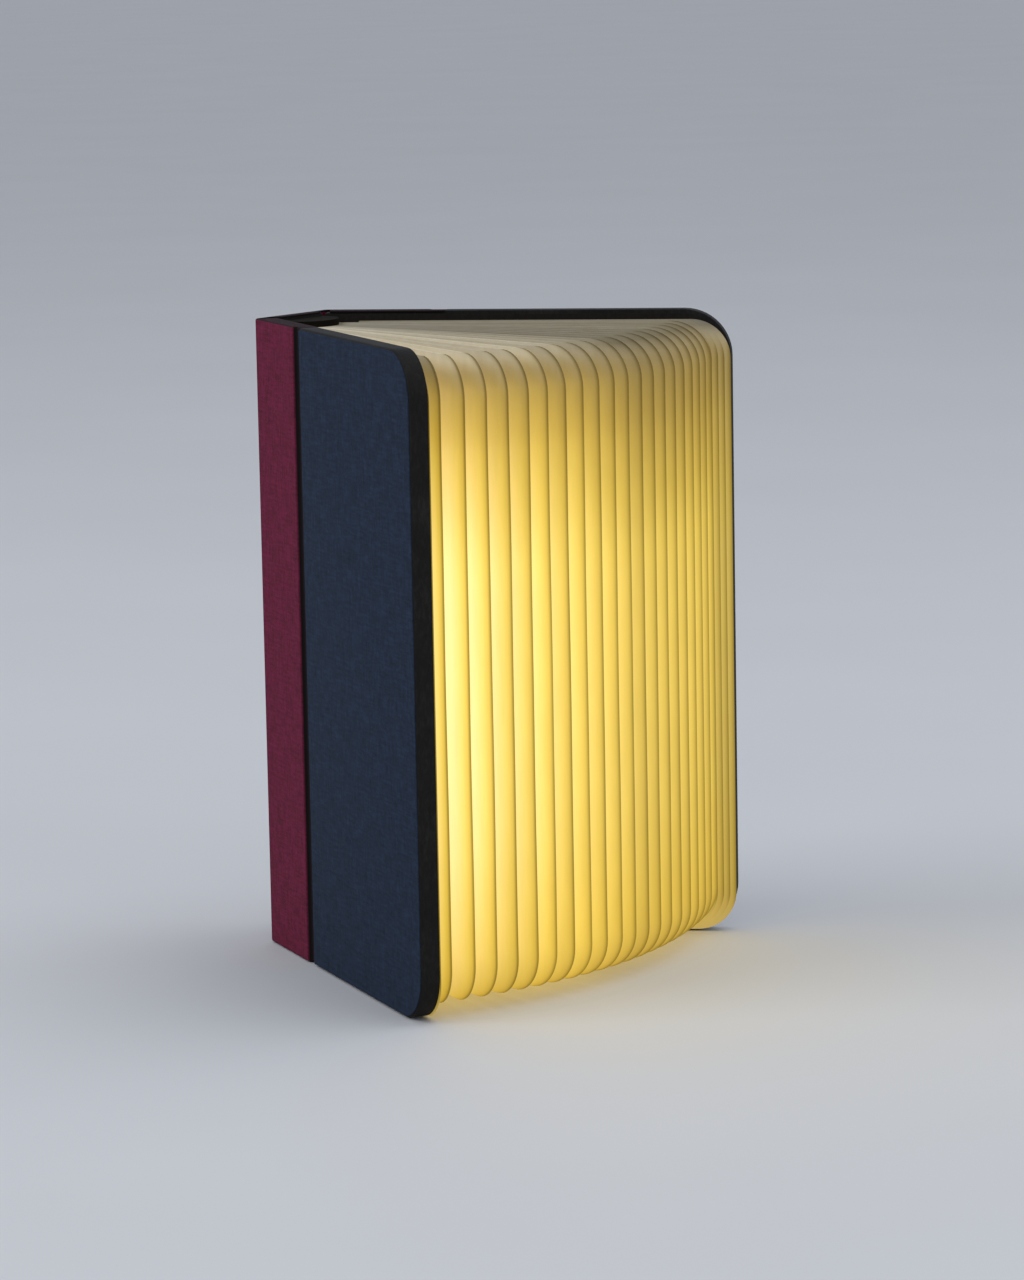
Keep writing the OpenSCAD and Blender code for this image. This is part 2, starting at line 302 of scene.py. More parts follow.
class Shader(Nodes):
    """Node graph round one Principled shader."""

    def __init__(self, name: str, **values: float | Colour) -> None:
        """Makes a material.

        Args:
            name: Its name.
            values: Constants of the Principled shader's own sockets, by socket names in lower
                case with underscores.
        """
        self.material = bpy.data.materials.new(name)
        super().__init__(self.material)
        self.base = self.node("BsdfPrincipled")
        self.node("OutputMaterial", {"Surface": self.base.outputs["BSDF"]})
        self.coordinates = self.node("TexCoord").outputs
        self.set(**values)

    def set(self, **values: Socket | float | Colour) -> None:
        """Links or sets sockets of the Principled shader, named as above."""
        for name, value in values.items():
            label = name.replace("_", " ").title().replace("Ior", "IOR")
            self.feed(self.base.inputs[label], value)

    def noise(
        self,
        scale: float,
        detail: float = 4,
        roughness: float = 0.5,
        stretch: Place = (1, 1, 1),
        source: str = "Object",
    ) -> Socket:
        """Adds a noise texture.

        Args:
            scale: Number of blotches to a unit of the coordinates.
            detail: Number of octaves.
            roughness: Strength of the finer octaves.
            stretch: Scale of each axis before the noise.
            source: Texture coordinate that it reads.

        Returns:
            The noise's factor.
        """
        place = self.node("Mapping", {"Scale": stretch, "Vector": self.coordinates[source]})
        inputs = {"Scale": scale, "Detail": detail, "Roughness": roughness}
        return self.node("TexNoise", {**inputs, "Vector": place.outputs["Vector"]}).outputs["Fac"]

    def wave(self, scale: float, direction: str, distortion: float) -> Socket:
        """Adds rows of threads along one axis of the piece's own UV map."""
        inputs = {"Scale": scale, "Distortion": distortion, "Detail": 2, "Detail Scale": 1.5}
        inputs["Vector"] = self.coordinates["UV"]
        return self.node("TexWave", inputs, bands_direction=direction).outputs["Fac"]

    def weighed(self, *parts: tuple[Socket, float]) -> Socket:
        """Adds up sockets, each times its weight."""
        total = self.math("MULTIPLY", *parts[0])
        for socket, weight in parts[1:]:
            total = self.math("ADD", total, self.math("MULTIPLY", socket, weight))
        return total

    def step(
        self, value: Socket, start: float, end: float, low: float = 0.0, high: float = 1.0
    ) -> Socket:
        """Goes from low to high as a value goes from start to end."""
        bounds = {"From Min": start, "From Max": end, "To Min": low, "To Max": high}
        return self.node("MapRange", {**bounds, "Value": value}).outputs["Result"]

    def axes(self) -> tuple[Socket, Socket]:
        """The two coordinates of the piece's own UV map."""
        split = self.node("SeparateXYZ", {"Vector": self.coordinates["UV"]})
        return split.outputs["X"], split.outputs["Y"]

    def product(self, *colours: Socket) -> Socket:
        """Multiplies colours."""
        total = colours[0]
        for colour in colours[1:]:
            made = self.node("VectorMath", {0: total, 1: colour}, operation="MULTIPLY")
            total = made.outputs["Vector"]
        return total

    def colours(self, factor: Socket, stops: Stops, smooth: bool = False) -> Socket:
        """Turns a factor into a colour by a ramp of stops."""
        made = self.node("ValToRGB", {"Fac": factor})
        made.color_ramp.interpolation = "CARDINAL" if smooth else "LINEAR"
        elements = made.color_ramp.elements
        while len(elements) < len(stops):
            elements.new(0.5)
        for element, (position, colour) in zip(elements, stops):
            element.position = position
            element.color = (*colour, 1.0)
        return made.outputs["Color"]

    def tones(self, factor: Socket, colour: Colour, *stops: tuple[float, float]) -> Socket:
        """Lightens and darkens a colour by a ramp of stops, each a position and a share."""
        return self.colours(factor, [(at, scaled(colour, share)) for at, share in stops])

    def mix(self, factor: Socket, one: Socket | Colour, two: Socket | Colour) -> Socket:
        """Mixes two colours by a factor."""
        made = self.node("Mix", {"Factor": factor}, data_type="RGBA")
        for name, value in (("A", one), ("B", two)):
            self.feed(next(s for s in made.inputs if s.name == name and s.type == "RGBA"), value)
        return next(s for s in made.outputs if s.type == "RGBA")

    def paint(self, tone: Socket, grain: Socket, depth: float, strength: float) -> Material:
        """Finishes the material with its colour and the relief of a grain of that depth."""
        relief = {"Distance": depth, "Strength": strength, "Height": grain}
        self.set(base_color=tone, normal=self.node("Bump", relief).outputs["Normal"])
        return self.material


def scaled(colour: Colour, by: float) -> Colour:
    """Lightens or darkens a colour."""
    return (colour[0] * by, colour[1] * by, colour[2] * by)


@dataclass(frozen=True)
class BookCloth:
    """Woven book cloth: crossed threads, a slubby grain and slightly worn high spots.

    The turned ends beyond the boards' height are dyed black. The groove between the cloths gets
    painted shade: its cloth is darkened to black. The UV map holds the place on the cut cloth in
    centimetres.
    """

    name: str
    colour: Colour
    half_height: float | None = None
    groove: float | None = None
    threads: float = 20.0
    black: Colour = (0.0050, 0.0035, 0.0035)

    def material(self) -> Material:
        """Makes the cloth's material."""
        shader = Shader(
            self.name,
            roughness=0.85,
            specular_ior_level=0.14,
            sheen_weight=0.06,
            sheen_roughness=0.5,
            sheen_tint=scaled(self.colour, 3.0),
        )
        warp = shader.wave(self.threads, "X", 1.2)
        weft = shader.wave(self.threads * 1.1, "Y", 1.2)
        weave = shader.math("MULTIPLY", warp, weft)
        upright = shader.noise(13, 3, 0.6, (1, 0.14, 1), "UV")
        level = shader.noise(13, 3, 0.6, (0.14, 1, 1), "UV")
        slub = shader.noise(7, 4, 0.6, (1, 1.6, 1), "UV")
        cloud = shader.noise(2.2, 4, 0.6, (1, 1, 1), "UV")
        linen = shader.math("ADD", upright, level)
        height = shader.weighed((weave, 0.30), (linen, 0.26), (slub, 0.18))
        wear = shader.weighed((height, 0.86), (cloud, 0.14))
        tone = shader.tones(wear, self.colour, (0.34, 0.48), (0.435, 1.0), (0.54, 1.9))
        along, across = shader.axes()
        if self.half_height is not None:
            reach = shader.math("SUBTRACT", across, self.half_height)
            reach = shader.math("ABSOLUTE", reach, 0.0)
            ends = shader.step(reach, self.half_height - 0.03, self.half_height + 0.01)
            tone = shader.mix(ends, tone, self.black)
        # painted shade: the cloth in the groove is darkened to black in place of its shadow
        if self.groove is not None:
            painted_groove_shade = shader.step(along, self.groove, self.groove + 0.05)
            tone = shader.mix(painted_groove_shade, tone, self.black)
        return shader.paint(tone, height, 0.12 * MM, 0.7)


@dataclass(frozen=True)
class DyedBoard:
    """Stiff board with black edges: fine pressed fibres and rubbed high spots."""

    name: str = "black_board"
    colour: Colour = (0.0072, 0.0066, 0.0060)

    def material(self) -> Material:
        """Makes the board's material."""
        shader = Shader(self.name, roughness=0.72, specular_ior_level=0.16)
        fibre = shader.noise(1400, 4, 0.6, (1, 1, 0.35))
        blotch = shader.noise(90, 3)
        wear = shader.weighed((fibre, 0.6), (blotch, 0.4))
        tone = shader.tones(wear, self.colour, (0.35, 0.6), (0.5, 1.0), (0.68, 2.2))
        return shader.paint(tone, fibre, 0.05 * MM, 0.6)


@dataclass(frozen=True)
class LiningPaper:
    """Black uncoated paper with a laid grain."""

    name: str = "black_lining"
    colour: Colour = (0.0085, 0.0078, 0.0070)

    def material(self) -> Material:
        """Makes the lining's material."""
        shader = Shader(self.name, roughness=0.85, specular_ior_level=0.14)
        fibre = shader.noise(900, 5, 0.65, (1, 1, 0.5))
        tone = shader.tones(fibre, self.colour, (0.3, 0.75), (0.75, 1.6))
        return shader.paint(tone, fibre, 0.04 * MM, 0.5)


LIGHT_BY_DEPTH: Stops = [
    (0.0, (0.33, 0.235, 0.032)),
    (0.0025, (0.44, 0.32, 0.045)),
    (0.007, (0.59, 0.428, 0.062)),
    (0.02, (0.69, 0.508, 0.086)),
    (0.04, (0.77, 0.595, 0.145)),
    (0.09, (0.86, 0.685, 0.31)),
    (0.20, (0.92, 0.74, 0.40)),
    (0.60, (0.98, 0.82, 0.49)),
]
LIGHT_BY_HEIGHT: Stops = [
    (0.0, (0.61, 0.53, 0.25)),
    (0.08, (0.84, 0.79, 0.52)),
    (0.24, (0.93, 0.92, 0.86)),
    (0.50, WHITE),
    (0.68, (0.97, 0.97, 0.91)),
    (0.84, (0.64, 0.595, 0.39)),
    (0.93, (0.33, 0.29, 0.18)),
    (0.975, (0.10, 0.09, 0.07)),
    (1.0, (0.07, 0.065, 0.05)),
]
# Painted shade in the paper's colour: darker at each fold and deep towards the root.
PAINTED_SHADE_BY_DEPTH: Stops = [
    (0.0, (0.30, 0.25, 0.15)),
    (0.003, (0.50, 0.44, 0.31)),
    (0.012, (0.90, 0.87, 0.80)),
    (0.03, WHITE),
    (0.86, WHITE),
    (0.95, (0.42, 0.40, 0.36)),
]
CREAM_BY_HEIGHT: Stops = [
    (0.0, (0.40, 0.34, 0.20)),
    (0.10, (0.38, 0.31, 0.15)),
    (0.75, (0.38, 0.31, 0.15)),
    (0.92, (0.44, 0.385, 0.24)),
    (0.955, (0.45, 0.41, 0.305)),
    (0.98, (0.61, 0.587, 0.505)),
]


@dataclass(frozen=True)
class GlowPaper:
    """Fibrous paper lit from inside: brightest deep in the fan and duller towards each fold.

    The UV map holds the distance from the fold, as a share of 100 mm, and the share of the
    cover's height. The attribute "shade" is how much light a leaf passes on. The glow fades
    towards the head, where the paper shows its own cream white, darkened there by painted shade
    where the leaf passes less light. Painted shade also darkens the paper at each fold and
    deep towards the root.
    """

    name: str = "lit_paper"

    def glow(self, shader: Shader, fibre: Socket, passed: Socket) -> Socket:
        """Light that the paper sends out, by depth, height, fibres and shade."""
        depth, height = shader.axes()
        light = shader.colours(depth, LIGHT_BY_DEPTH)
        rise = shader.colours(height, LIGHT_BY_HEIGHT, smooth=True)
        grain = shader.math("ADD", shader.math("MULTIPLY", fibre, 0.12), 0.94)
        inputs = {0: shader.product(light, rise), "Scale": shader.math("MULTIPLY", grain, passed)}
        return shader.node("VectorMath", inputs, operation="SCALE").outputs["Vector"]

    def material(self) -> Material:
        """Makes the paper's material."""
        shader = Shader(self.name, roughness=0.85, specular_ior_level=0.15, emission_strength=1.0)
        fibre = shader.noise(260, 5, 0.6, (1, 1, 0.25))
        passed = shader.node("Attribute", attribute_name="shade").outputs["Fac"]
        shader.set(emission_color=self.glow(shader, fibre, passed))
        depth, height = shader.axes()
        # painted shade at the folds and at the root
        fold = shader.colours(depth, PAINTED_SHADE_BY_DEPTH)
        cream = shader.colours(height, CREAM_BY_HEIGHT)
        speck = shader.colours(fibre, [(0.3, (0.90, 0.89, 0.86)), (0.7, WHITE)])
        # painted shade at the head: the paper's colour darkens by the square of the light a leaf passes on,
        # most towards the back cover
        head = shader.step(height, 0.955, 0.975)
        painted_head_shade = shader.mix(head, WHITE, shader.math("MULTIPLY", passed, passed))
        return shader.paint(shader.product(fold, cream, speck, painted_head_shade), fibre, 0.06 * MM, 0.5)


@dataclass(frozen=True)
class Moulding:
    """Moulded plastic with a fine spark-eroded grain."""

    name: str
    colour: Colour
    roughness: float = 0.5
    glow: Colour | None = None
    strength: float = 0.0
    specular: float = 0.4

    def material(self) -> Material:
        """Makes the plastic's material."""
        shader = Shader(self.name, roughness=self.roughness, specular_ior_level=self.specular)
        grain = shader.noise(2500, 3, 0.6)
        blend = shader.weighed((grain, 0.5), (shader.noise(60, 2), 0.5))
        tone = shader.tones(blend, self.colour, (0.3, 0.86), (0.7, 1.14))
        if self.glow is not None:
            shader.set(emission_color=self.glow, emission_strength=self.strength)
        return shader.paint(tone, grain, 0.02 * MM, 0.5)


@dataclass(frozen=True)
class Metal:
    """Plated or pressed metal with fine drawing lines."""

    name: str
    colour: Colour
    roughness: float = 0.3

    def material(self) -> Material:
        """Makes the metal's material."""
        shader = Shader(self.name, metallic=1.0)
        lines = shader.noise(1200, 3, 0.6, (1, 1, 0.06))
        tone = shader.tones(lines, self.colour, (0.3, 0.85), (0.7, 1.0))
        rough = shader.step(lines, 0, 1, self.roughness * 0.75, self.roughness * 1.3)
        shader.set(roughness=rough)
        return shader.paint(tone, lines, 0.01 * MM, 0.4)


@dataclass(frozen=True)
class StudioFloor:
    """Pale matt table top with faint clouds in its colour."""

    name: str = "pale_floor"
    colour: Colour = (0.62, 0.64, 0.68)

    def material(self) -> Material:
        """Makes the floor's material."""
        shader = Shader(self.name, roughness=0.75, specular_ior_level=0.2)
        tone = shader.tones(shader.noise(6, 4), self.colour, (0.3, 0.985), (0.7, 1.015))
        shader.set(base_color=tone)
        return shader.material


@dataclass(frozen=True)
class HingedPlane:
    """Coordinates of a cover: depth below its outer face, reach from the hinge, and height."""

    half_spine: float = 13.9 * MM
    rest_open: float = math.radians(29.6)

    @property
    def turned(self) -> tuple[float, float]:
        """Cosine and sine of the rest angle."""
        return math.cos(self.rest_open), math.sin(self.rest_open)

    def place(self, side: Side, depth: Grid, reach: Grid, height: Grid) -> Grid:
        """Carries cover coordinates to their place.

        Formula: (-depth, reach) turns by the rest angle about the upright hinge line, and the
        back cover mirrors the front one in x.

        Args:
            side: Cover to place on.
            depth: Depths below the outer face.
            reach: Distances from the hinge line.
            height: Heights above the table.

        Returns:
            Points, with x, y and z on the last axis.
        """
        depth, reach, height = np.broadcast_arrays(depth, reach, height)
        cosine, sine = self.turned
        x = self.half_spine - depth * cosine + reach * sine
        y = depth * sine + reach * cosine
        return np.stack([side.value * x, y, height], axis=-1)


def rounded_outline(
    low: tuple[float, float],
    high: tuple[float, float],
    fore_radius: float,
    hinge_radius: float,
    steps: int = 14,
) -> Grid:
    """Outline of a leaf or board: a rectangle with two round corners at each end.

    Formula: quarter circles about the four corner centres, joined by straight runs.

    Args:
        low: Least reach and height.
        high: Greatest reach and height.
        fore_radius: Radius of the two corners at the greatest reach.
        hinge_radius: Radius of the two corners at the least reach.
        steps: Points on each quarter circle.

    Returns:
        Array of points by 2, anticlockwise, with runs divided so that no side is bare.
    """
    turn = np.linspace(0, math.pi / 2, steps)
    corners = [
        (high[0] - fore_radius, high[1] - fore_radius, fore_radius, 0.0),
        (low[0] + hinge_radius, high[1] - hinge_radius, hinge_radius, math.pi / 2),
        (low[0] + hinge_radius, low[1] + hinge_radius, hinge_radius, math.pi),
        (high[0] - fore_radius, low[1] + fore_radius, fore_radius, 1.5 * math.pi),
    ]
    arcs = [
        np.stack([y + r * np.cos(turn + start), z + r * np.sin(turn + start)], axis=-1)
        for y, z, r, start in corners
    ]
    share = np.linspace(0, 1, 10)[1:-1, None]
    runs = []
    for arc, following in zip(arcs, arcs[1:] + arcs[:1]):
        runs += [arc, arc[-1] * (1 - share) + following[0] * share]
    return np.concatenate(runs)


@dataclass
class Cover:
    """One cover: black board with soft edges, its face cloth, lining and end leaf."""

    side: Side
    plane: HingedPlane = HingedPlane()
    width: float = 104.5 * MM
    height: float = COVER_HEIGHT
    strip_height: float = 159.5 * MM
    thickness: float = 5.1 * MM
    corner: float = 12 * MM
    strip: float = STRIP_WIDTH
    groove: float = GROOVE_WIDTH
    hinge_gap: float = 0.7 * MM
    cloth_proud: float = 0.15 * MM
    cloth_in: float = 0.45 * MM
    cloth_lap: float = 0.1 * MM
    cloth_round: float = 0.12 * MM
    seam: float = 0.15 * MM
    edge_round: float = 0.8 * MM
    inner_round: float = 0.2 * MM
    hinge_corner: float = 0.25 * MM
    hinge_share: float = 0.3
    root_in: float = 1.6 * MM
    root_round: float = 0.3 * MM
    root_play: float = 0.1 * MM
    lining_start: float = 1.7 * MM
    lining_in: float = 1 * MM
    lining_bed: float = 0.15 * MM
    lining_sunk: float = 0.05 * MM
    lining_round: float = 0.08 * MM
    leaf_start: float = 9.5 * MM
    leaf_setbacks: tuple[float, ...] = (0.1 * MM, 1.7 * MM, 3.3 * MM, 4.9 * MM)
    leaf_thickness: float = 0.07 * MM
    leaf_round: float = 0.03 * MM
    leaf_gap: float = 0.02 * MM
    leaf_shades: tuple[float, ...] = (0.61, 0.64, 0.67, 0.70)
    leaf_foot: float = 0.3 * MM
    leaf_head: float = 2.5 * MM
    page_corner: float = PAGE_CORNER

    def slab(
        self,
        name: str,
        start: float,
        insets: Grid,
        depths: Grid,
        hinge_share: float = 1.0,
        edges: Place = (0.0, 0.0, 0.0),
        corner: float | None = None,
    ) -> Piece:
        """Closed slab whose edge profile is carried round its outline.

        Formula: at each step of the profile the outline shrinks by the inset and lies at the
        depth, and the first and last rings are closed by flat faces.

        Args:
            name: Name of the piece.
            start: Reach at which the slab begins.
            insets: Insets along the profile, from the outer face to the inner face.
            depths: Depths along the profile.
            hinge_share: Share of the inset that applies at the hinge side.
            edges: Distances in from the cover's fore-edge, foot and head.
            corner: Radius of the fore corners, or None for the cover's own.

        Returns:
            The piece, riding on its cover.
        """
        fore, foot, head = edges
        radius = self.corner if corner is None else corner
        rings = [
            rounded_outline(
                (start + inset * hinge_share, foot + inset),
                (self.width - fore - inset, self.height - head - inset),
                radius - inset,
                self.hinge_corner,
            )
            for inset in insets
        ]
        return self.laid(name, rings, depths)

    def laid(self, name: str, rings: list[Grid], depths: Grid) -> Piece:
        """Closed piece from an outline at each depth, riding on its cover."""
        outline = np.stack(rings)
        points = self.plane.place(self.side, depths[:, None], outline[..., 0], outline[..., 1])
        piece = surface(name, points, outline / TEXTURE_UNIT, closed=True)
        turn_outwards(piece)
        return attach(piece, self.side.body)

    def edge_profile(
        self, outer: float, inner: float, radius: float, inner_radius: float | None = None
    ) -> tuple[Grid, Grid]:
        """Insets and depths of a slab with round edges.

        Formula: a quarter circle from the outer face, a straight wall, and a quarter circle to
        the inner face.
        """
        turn = np.linspace(0, math.pi / 2, 7)
        near, far = radius, radius if inner_radius is None else inner_radius
        insets = np.concatenate([near * (1 - np.sin(turn)), far * (1 - np.sin(turn[::-1]))])
        depths = np.concatenate(
            [outer + near * (1 - np.cos(turn)), inner - far * (1 - np.cos(turn[::-1]))]
        )
        return insets, depths

    def build(self, paper: Material, cloth: Material) -> None:
        """Builds the cover's pieces and dresses them, the end leaves in paper."""
        black = DyedBoard(self.side.node("black_board")).material()
        inner = self.thickness - self.lining_bed
        groove_end = self.strip + self.groove
        board = self.slab(
            self.side.node("cover_board"),
            groove_end,
            *self.edge_profile(self.cloth_proud, inner, self.edge_round, self.inner_round),
            hinge_share=self.hinge_share,
        )
        dress(board, black)
        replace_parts(board, self.side.node("board"))
        root = self.root_board(*self.edge_profile(self.root_in, inner, self.root_round))
        dress(root, black)
        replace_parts(root, self.side.node("board"))
        face = self.slab(
            self.side.node("face_cloth"),
            groove_end + self.seam,
            *self.edge_profile(0.0, self.cloth_proud + self.cloth_lap, self.cloth_round),
            edges=(self.cloth_in,) * 3,
            corner=self.corner - self.cloth_in,
        )
        dress(face, cloth)
        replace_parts(face, self.side.node("cloth"))
        lining = self.slab(
            self.side.node("lining_sheet"),
            self.lining_start,
            *self.edge_profile(inner - self.lining_sunk, self.thickness, self.lining_round),
            edges=(self.lining_in,) * 3,
            corner=self.corner - self.lining_in,
        )
        dress(lining, LiningPaper(self.side.node("black_lining")).material())
        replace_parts(lining, self.side.node("lining"))
        self.end_leaves(paper)
        log.info("%s cover: board, face cloth, lining and end leaves", self.side.name.lower())

    def root_board(self, insets: Grid, depths: Grid) -> Piece:
        """Board under the spine cloth, from the hinge to the far wall of the groove."""
        play = self.root_play
        rings = [
            rounded_outline(
                (self.hinge_gap + play + inset, play + inset),
                (
                    self.strip + self.groove + play - inset * self.hinge_share,
                    self.strip_height - inset,
                ),
                self.hinge_corner,
                self.hinge_corner,
                steps=5,
            )
            for inset in insets
        ]
        return self.laid(self.side.node("hinge_board"), rings, depths)

    def end_leaves(self, paper: Material) -> None:
        """Last leaves of the paper, glued to the lining one on another, each set back further."""
        depth = self.thickness + self.leaf_gap
        cosine, sine = self.plane.turned
        rows = enumerate(zip(self.leaf_setbacks, self.leaf_shades), start=1)
        for number, (setback, shade) in rows:
            leaf = self.slab(
                self.side.node(f"glued_leaf_{number}"),
                self.leaf_start,
                *self.edge_profile(depth, depth + self.leaf_thickness, self.leaf_round),
                edges=(setback, self.leaf_foot, self.leaf_head),
                corner=self.page_corner,
            )
            depth += self.leaf_thickness
            points = np.empty(len(leaf.data.vertices) * 3)
            leaf.data.vertices.foreach_get("co", points)
            x, y, z = points.reshape(-1, 3).T
            reach = (np.abs(x) - self.plane.half_spine) * sine + y * cosine
            fold = (self.width - setback - reach) / FOLD_UNIT
            write_uv(leaf.data, np.stack([fold, z / COVER_HEIGHT], axis=-1))
            write_shade(leaf.data, np.full(len(z), shade))
            dress(leaf, paper)
            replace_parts(leaf, self.side.node("end_leaf"))


@dataclass
class SpineCloth:
    """Maroon cloth over the spine, round both hinges and on to the covers, with turned ends."""

    plane: HingedPlane = HingedPlane()
    height: float = COVER_HEIGHT
    thickness: float = 0.45 * MM
    end_round: float = 0.55 * MM
    hinge_round: float = 1.6 * MM
    flat_half: float = 12.4 * MM
    hinge_reach: float = 1.3 * MM
    strip: float = STRIP_WIDTH
    groove: float = GROOVE_WIDTH
    groove_depth: float = 1.0 * MM
    core_half: float = 8.5 * MM
    spine_turn: float = 3.5 * MM
    cover_turn: float = 5.1 * MM
    full_turn: float = 2.1 * MM
    core_bend: float = 0.5 * MM
    lap: float = 0.1 * MM
    dip_half: float = 0.6 * MM
    # how far before the strip's edge the painted groove shade starts
    groove_shade_lead: float = 0.35 * MM
    rows: int = 22

    @property
    def least_turn(self) -> float:
        """Depth of a turned end that is hardly more than its bend."""
        return 1.1 * self.end_round

    def section(self, turn: Grid) -> tuple[Grid, Grid]:
        """Upright section of the cloth: in over the foot, up the face and in over the head.

        Formula: a flap of the given depth, a quarter circle, a straight face, and the same
        again mirrored at the head.

        Args:
            turn: Depth of the turned end at each step along the cloth.

        Returns:
            Inward offsets (steps by points) and heights (points).
        """
        r = self.end_round
        share = np.linspace(1, 0, 5)[:-1]
        arc = np.linspace(0, math.pi / 2, 7)
        flap = r + (turn[:, None] - r) * share[None, :]
        bend = np.broadcast_to(r * (1 - np.sin(arc)), (len(turn), len(arc)))
        face = np.zeros((len(turn), self.rows))
        offsets = np.concatenate([flap, bend, face, bend[:, ::-1], flap[:, ::-1]], axis=1)
        low = np.concatenate([np.zeros(len(share)), r * (1 - np.cos(arc))])
        middle = np.linspace(r, self.height - r, self.rows + 2)[1:-1]
        heights = np.concatenate([low, middle, self.height - low[::-1]])
        return offsets, heights

    def sheet(
        self, name: str, outer: Grid, inward: Grid, turn: Grid, mirrored: bool
    ) -> tuple[Piece, dict[str, object]]:
        """Makes one run of the cloth from its plan.

        Args:
            name: Name of the piece.
            outer: Plan of the outer face, steps by 2.
            inward: Unit vectors towards the boards, steps by 2.
            turn: Depth of the turned ends at each step.
            mirrored: Whether the plan is mirrored in x.

        Returns:
            The sheet, with its thickness, at its place, and its cut size and area.
        """
        offsets, heights = self.section(turn)
        plan = outer[:, None, :] + inward[:, None, :] * offsets[..., None]
        z = np.broadcast_to(heights, offsets.shape)
        points = np.concatenate([plan, z[..., None]], axis=-1)
        along = np.concatenate([[0], np.cumsum(np.linalg.norm(np.diff(outer, axis=0), axis=1))])
        across = z + np.where(z < self.height / 2, -1, 1) * offsets
        uv = np.stack([np.broadcast_to(along[:, None], z.shape), across], axis=-1) / TEXTURE_UNIT
        if mirrored:
            points = points * np.array([-1, 1, 1])
        else:
            points, uv = points[::-1], uv[::-1]
        piece = surface(name, points, uv)
        thicken(piece, self.thickness)
        width, length = float(along[-1]), float(across.max() - across.min())
        return piece, {"flat": (width, length), "area": min(grid_area(points), width * length)}

    def spine(self, material: Material) -> None:
        """Flat run over the spine board, which rides with the core, and the runs at its sides."""
        hinges = [self.hinge(side, material) for side in Side]
        x = np.linspace(-self.flat_half, self.flat_half, 61)
        outer = np.stack([x, np.zeros_like(x)], axis=-1)
        inward = np.tile([0.0, 1.0], (len(x), 1))
        core = self.core_half
        fall = 1 - ramp(np.abs(x), core - self.core_bend, core + self.lap)
        turn = self.least_turn + (self.spine_turn - self.least_turn) * fall
        piece, cut = self.sheet("spine_cloth_run", outer, inward, turn, False)
        dress(piece, material)
        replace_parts(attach(piece, "core"), "spine_cloth")

    def hinge(self, side: Side, material: Material) -> Piece:
        """Run round the hinge: a straight end, a rounded corner and a straight end.

        Formula: the corner is an arc that touches the spine's face and the cover's face.

        Args:
            side: Cover that the hinge carries.
            material: The cloth's material.

        Returns:
            The run, which bends between the core and the cover.
        """
        angle = math.pi / 2 - self.plane.rest_open
        tangent = self.hinge_round * math.tan(angle / 2)
        corner = self.plane.half_spine
        turn = np.linspace(0, angle, 13)
        x = corner - tangent + self.hinge_round * np.sin(turn)
        arc = np.stack([x, self.hinge_round * (1 - np.cos(turn))], axis=-1)
        normals = np.stack([-np.sin(turn), np.cos(turn)], axis=-1)
        along = np.array(self.plane.turned[::-1])
        start = np.array([[self.flat_half, 0.0]])
        end = np.array([corner, 0.0]) + along * self.hinge_reach
        outer = np.concatenate([start, arc, end[None, :]])
        inward = np.concatenate([normals[:1], normals, normals[-1:]])
        flap = np.full(len(outer), self.least_turn)
        name = side.node("hinge_cloth")
        piece, _ = self.sheet(name, outer, inward, flap, side is Side.BACK)
        dress(piece, material)
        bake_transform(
            piece,
            "core",
            side.body,
            start=(side.value * self.flat_half, 0, 0),
            end=(side.value * end[0], end[1], 0),
        )
        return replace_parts(piece, "spine_cloth")

    def strip_run(self, side: Side, material: Material) -> None:
        """Run on the cover, which dips into the groove between the two cloths."""
        edge = self.strip
        steps = (
            (self.hinge_reach, 2.4 * MM, 9),
            (4 * MM, edge - 1.2 * MM, 10),
            (edge - 0.9 * MM, edge + 0.8 * MM, 13),
            (edge + 1.5 * MM, edge + self.groove + self.lap, 4),
        )
        reach = np.concatenate([np.linspace(*run) for run in steps])
        dip = self.groove_depth * ramp(reach, edge - self.dip_half, edge + self.dip_half)
        front = self.plane.place(Side.FRONT, dip, reach, np.zeros_like(reach))[:, :2]
        cosine, sine = self.plane.turned
        inward = np.tile([-cosine, sine], (len(reach), 1))
        rise = ramp(reach, self.hinge_reach, self.full_turn)
        turn = self.least_turn + (self.cover_turn - self.least_turn) * rise - dip
        name = side.node("strip_cloth")
        piece, cut = self.sheet(name, front, inward, turn, side is Side.BACK)
        side.node("hinge_board")
        dress(piece, material)
        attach(piece, side.body)
        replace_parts(piece, side.node("spine_strip"))

    def build(self, colour: Colour) -> None:
        """Builds all the runs of the cloth in one colour."""
        half = self.height / TEXTURE_UNIT / 2
        self.spine(BookCloth("maroon_spine_cloth", colour, half).material())
        groove = (self.strip - self.groove_shade_lead - self.hinge_reach) / TEXTURE_UNIT
        strip = BookCloth("maroon_strip_cloth", colour, half, groove).material()
        for side in Side:
            self.strip_run(side, strip)
        log.info("spine cloth: spine, two hinges and two cover strips")


